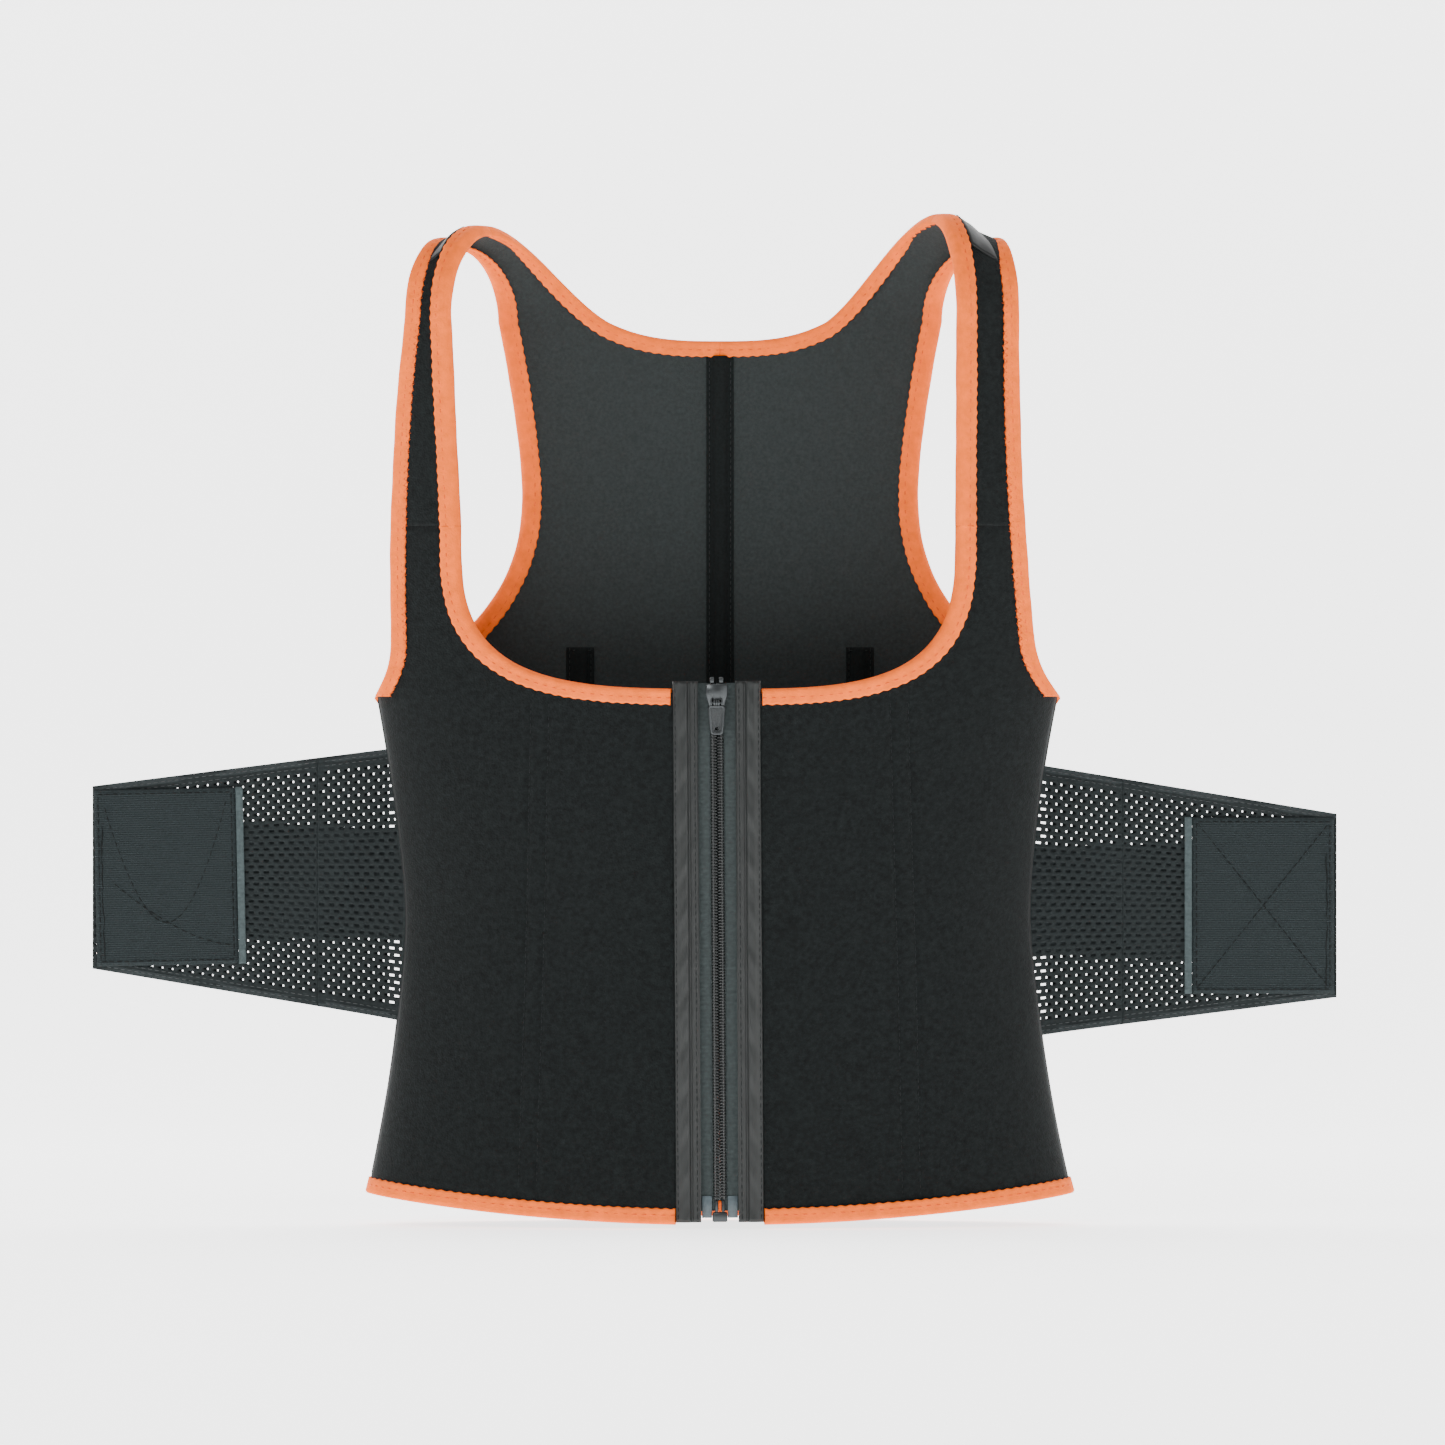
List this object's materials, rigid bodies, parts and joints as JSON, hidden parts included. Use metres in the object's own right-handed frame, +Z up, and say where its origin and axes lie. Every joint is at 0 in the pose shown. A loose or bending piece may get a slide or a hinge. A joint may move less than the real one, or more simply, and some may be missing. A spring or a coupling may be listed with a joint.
{
  "type": "waist trainer vest",
  "caption": "Sleeveless zip-front shaping vest with bound neck, armholes and hem, boned panels and mesh belt wings that wrap to the front.",
  "frame": {"origin": "middle of the hanger that carries both shoulder folds, 487.5 mm above the lowest point of the hem", "axes": "+Z up, the zip front faces -Y, +X to the right as seen from the front; left and right in names are as seen from the front"},
  "size_m": [0.6305, 0.1043, 0.508],
  "materials": {
    "outer_cloth": "matt foam-backed knit, fine nap",
    "lining_cloth": "smooth knit lining",
    "edge_binding": "stretch binding with cover stitching",
    "satin_tape": "satin",
    "bone_plastic": "flat flexible strip",
    "zip_tape": "herringbone tape",
    "zip_coil": "nylon coil",
    "zip_metal": "dark lacquer",
    "zip_film": "heat-set film",
    "casing_tape": "plush tape",
    "wing_mesh": "warp-knit mesh with slots",
    "wing_elastic": "woven elastic",
    "hook_tape": "ribbed hook tape",
    "pad_trim": "smooth folded tape"
  },
  "bodies": {
    "back": {"back_panel_left": "lining_cloth", "back_panel_right": "lining_cloth", "side_panel_left": "outer_cloth", "side_panel_right": "outer_cloth", "shoulder_tape_left": "satin_tape", "shoulder_tape_right": "satin_tape", "neck_binding_back": "edge_binding", "neck_binding_strap_left": "edge_binding", "neck_binding_strap_right": "edge_binding", "armhole_binding_left": "edge_binding", "armhole_binding_right": "edge_binding", "hem_binding_back": "edge_binding", "back_casing_centre": "casing_tape", "back_bone_centre": "bone_plastic", "back_casing_left": "casing_tape", "back_casing_right": "casing_tape", "back_bone_left": "bone_plastic", "back_bone_right": "bone_plastic", "wing_root_left": "wing_mesh", "wing_root_right": "wing_mesh", "band_root_left": "wing_elastic", "band_root_right": "wing_elastic"},
    "front_left": {"front_panel_left": "outer_cloth", "neck_binding_front_left": "edge_binding", "hem_binding_front_left": "edge_binding", "placket_left": "satin_tape", "placket_bone_left": "bone_plastic", "zip_tape_left": "zip_tape", "zip_coil_left": "zip_coil", "zip_top_stop_left": "zip_coil", "zip_film_left": "zip_film", "front_casing_left": "casing_tape", "front_bone_left": "bone_plastic", "zip_box": "zip_coil"},
    "front_right": {"front_panel_right": "outer_cloth", "neck_binding_front_right": "edge_binding", "hem_binding_front_right": "edge_binding", "placket_right": "satin_tape", "placket_bone_right": "bone_plastic", "zip_tape_right": "zip_tape", "zip_coil_right": "zip_coil", "zip_top_stop_right": "zip_coil", "zip_film_right": "zip_film", "front_casing_right": "casing_tape", "front_bone_right": "bone_plastic", "zip_pin": "zip_coil"},
    "slider": {"zip_slider": "zip_metal"},
    "puller": {"zip_puller": "zip_metal"},
    "wing_left": {"wing_middle_left": "wing_mesh", "band_middle_left": "wing_elastic"},
    "wing_end_left": {"wing_end_left": "wing_mesh", "band_end_left": "wing_elastic", "hook_pad_left": "hook_tape", "pad_trim_left": "pad_trim"},
    "wing_right": {"wing_middle_right": "wing_mesh", "band_middle_right": "wing_elastic"},
    "wing_end_right": {"wing_end_right": "wing_mesh", "band_end_right": "wing_elastic", "hook_pad_right": "hook_tape", "pad_trim_right": "pad_trim"}
  },
  "joints": [
    {"name": "zip_slide", "type": "slide", "parent": "front_left", "child": "slider", "axis": [0.0064, 0, -1], "range_m": [0, 0.2435]},
    {"name": "puller_swing", "type": "hinge", "parent": "slider", "child": "puller", "pos_m": [-0.00168, -0.0521, -0.2264], "axis": [-1, 0, -0.0064], "range_deg": [0, 120]},
    {"name": "front_left_open", "type": "hinge", "parent": "back", "child": "front_left", "pos_m": [-0.14, -0.038, -0.4735], "axis": [-0.0335, 0, -0.9994], "range_deg": [0, 100]},
    {"name": "wing_left_wrap", "type": "hinge", "parent": "back", "child": "wing_left", "pos_m": [-0.17305, 0.022, -0.3355], "axis": [0.0499, -0.015, -0.9986], "range_deg": [-90, 0]},
    {"name": "wing_left_curl", "type": "hinge", "parent": "wing_left", "child": "wing_end_left", "pos_m": [-0.23405, 0.022, -0.3355], "axis": [0.0499, -0.015, -0.9986], "range_deg": [-76, 0]},
    {"name": "front_right_open", "type": "hinge", "parent": "back", "child": "front_right", "pos_m": [0.128, -0.038, -0.4735], "axis": [-0.0335, 0, 0.9994], "range_deg": [0, 100]},
    {"name": "wing_right_wrap", "type": "hinge", "parent": "back", "child": "wing_right", "pos_m": [0.17045, 0.022, -0.3355], "axis": [0.0499, 0.015, 0.9986], "range_deg": [-90, 0]},
    {"name": "wing_right_curl", "type": "hinge", "parent": "wing_right", "child": "wing_end_right", "pos_m": [0.23145, 0.022, -0.3355], "axis": [0.0499, 0.015, 0.9986], "range_deg": [-76, 0]}
  ],
  "couplings": [
    {"joint": "wing_left_curl", "follows": "wing_left_wrap", "ratio": 0.84},
    {"joint": "wing_right_curl", "follows": "wing_right_wrap", "ratio": 0.84}
  ]
}
